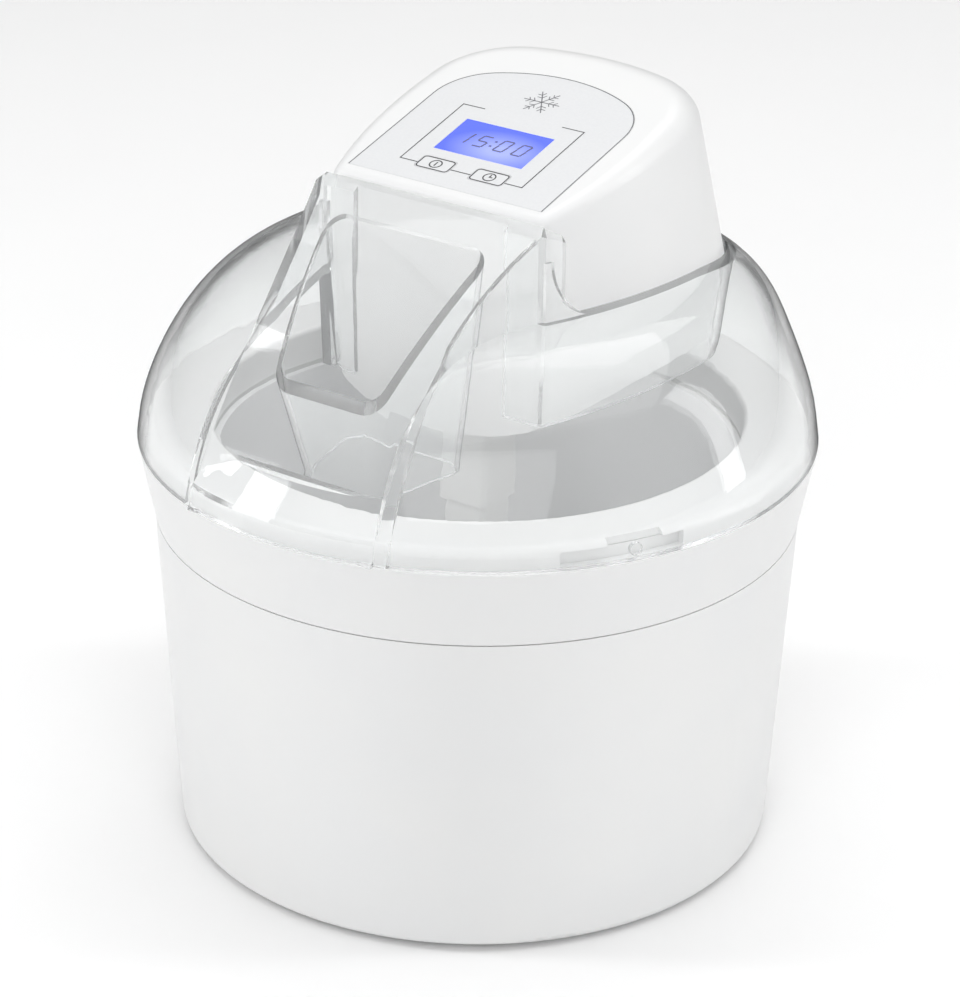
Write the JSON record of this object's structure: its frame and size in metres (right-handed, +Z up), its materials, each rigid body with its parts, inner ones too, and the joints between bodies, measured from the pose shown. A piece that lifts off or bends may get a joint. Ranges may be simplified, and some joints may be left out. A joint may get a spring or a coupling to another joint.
{
  "type": "ice cream maker",
  "caption": "Countertop ice cream maker: tapered tub, lift-out freezer bowl with scraping paddle, clear domed lid with filling chute, geared drive head with display and keys.",
  "frame": {"origin": "centre of the tub on the surface it stands on", "axes": "+Z up along the paddle axis, -Y towards the front with the filling hood, +X to the right"},
  "size_m": [0.216, 0.216, 0.2413],
  "materials": {
    "white_plastic": "glossy moulded",
    "white_inner_plastic": "moulded",
    "clear_plastic": "clear polished",
    "aluminium": "satin anodised",
    "rubber": "matte",
    "seal_rubber": "matte",
    "cooling_gel": "gel",
    "panel_film": "printed film",
    "display_pane": "clear",
    "display_glass": "backlit",
    "circuit_board": "resist",
    "switch_plastic": "moulded",
    "steel": "plated",
    "bronze": "sintered",
    "gear_plastic": "moulded acetal",
    "gland_rubber": "moulded"
  },
  "bodies": {
    "tub": {"outer_casing": "white_plastic", "rubber_feet": "rubber"},
    "bowl": {"bowl_outer_shell": "white_inner_plastic", "coolant_plug": "seal_rubber", "bowl_liner": "aluminium", "coolant_gel": "cooling_gel", "liner_seal": "seal_rubber", "bowl_collar": "white_plastic"},
    "cover": {"lid": "clear_plastic"},
    "drive_head": {"head_lower_shell": "white_plastic", "head_upper_shell": "white_plastic", "cord_gland": "gland_rubber", "panel_overlay": "panel_film", "lcd_window": "display_pane", "lcd_module": "display_glass", "control_board": "circuit_board", "tact_switches": "switch_plastic", "gear_plate": "white_inner_plastic", "power_board": "circuit_board", "motor": "steel", "motor_screws": "steel", "housing_screws": "steel", "idler_pins": "steel", "lower_bush": "bronze", "upper_bush": "bronze", "shaft_seal": "rubber"},
    "output": {"output_gear": "gear_plastic", "output_shaft": "steel", "shaft_circlip": "steel"},
    "slow_idler": {"idler_gear_slow": "gear_plastic"},
    "fast_idler": {"idler_gear_fast": "gear_plastic"},
    "rotor": {"motor_pinion": "steel"},
    "start_key": {"start_button": "white_plastic"},
    "timer_key": {"timer_button": "white_plastic"},
    "mixer": {"paddle": "white_plastic"}
  },
  "joints": [
    {"name": "bowl_lift", "type": "slide", "parent": "tub", "child": "bowl", "axis": [0, 0, 1], "range_m": [0, 0.13]},
    {"name": "lid_lift", "type": "slide", "parent": "bowl", "child": "cover", "axis": [0, 0, 1], "range_m": [0, 0.15]},
    {"name": "head_lift", "type": "slide", "parent": "cover", "child": "drive_head", "axis": [0, 0, 1], "range_m": [0, 0.11]},
    {"name": "paddle_spin", "type": "hinge", "parent": "bowl", "child": "mixer", "pos_m": [0, 0, 0.1], "axis": [0, 0, 1], "continuous": true},
    {"name": "output_spin", "type": "hinge", "parent": "drive_head", "child": "output", "pos_m": [0, 0, 0.157], "axis": [0, 0, 1], "continuous": true},
    {"name": "slow_idler_spin", "type": "hinge", "parent": "drive_head", "child": "slow_idler", "pos_m": [0, 0.0243, 0.165], "axis": [0, 0, 1], "continuous": true},
    {"name": "fast_idler_spin", "type": "hinge", "parent": "drive_head", "child": "fast_idler", "pos_m": [0.021, 0.0243, 0.17], "axis": [0, 0, 1], "continuous": true},
    {"name": "motor_spin", "type": "hinge", "parent": "drive_head", "child": "rotor", "pos_m": [0.021, 0.0423, 0.175], "axis": [0, 0, 1], "continuous": true},
    {"name": "start_press", "type": "slide", "parent": "drive_head", "child": "start_key", "axis": [0, 0.2296, -0.9733], "range_m": [0, 0.0007], "stiffness_N_per_m": 1500},
    {"name": "timer_press", "type": "slide", "parent": "drive_head", "child": "timer_key", "axis": [0, 0.2296, -0.9733], "range_m": [0, 0.0007], "stiffness_N_per_m": 1500}
  ],
  "couplings": [
    {"joint": "output_spin", "follows": "paddle_spin", "ratio": 1},
    {"joint": "slow_idler_spin", "follows": "paddle_spin", "ratio": -3.5},
    {"joint": "fast_idler_spin", "follows": "paddle_spin", "ratio": 14},
    {"joint": "motor_spin", "follows": "paddle_spin", "ratio": -70}
  ]
}
